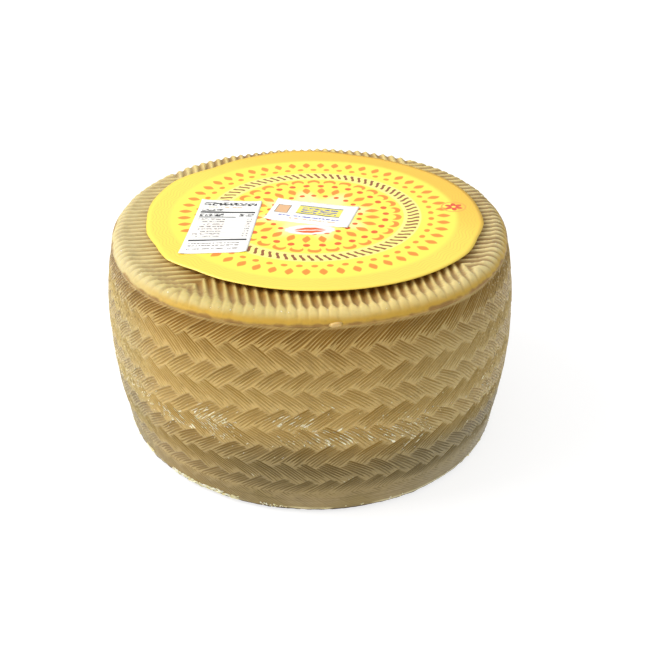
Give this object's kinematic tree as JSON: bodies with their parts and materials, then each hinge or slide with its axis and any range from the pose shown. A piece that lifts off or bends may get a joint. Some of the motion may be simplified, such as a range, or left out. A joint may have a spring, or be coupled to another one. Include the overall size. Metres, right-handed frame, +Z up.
{
  "type": "manchego cheese",
  "caption": "Whole round pressed sheep's-milk cheese with a plaited-grass print on its side, ribbed faces, and a round yellow paper label with white stickers on top.",
  "frame": {"origin": "middle of the base, on the surface that the cheese stands on", "axes": "+Z up through the middle of the round faces; the pictured side faces -Y, with +X to its right"},
  "size_m": [0.1932, 0.1984, 0.1014],
  "materials": {
    "rind": "satin",
    "label_paper": "matte",
    "sticker_paper": "matte"
  },
  "bodies": {
    "root": {"cheese_wheel": "rind", "top_label": "label_paper", "facts_sticker": "sticker_paper", "centre_sticker": "sticker_paper"}
  },
  "joints": []
}
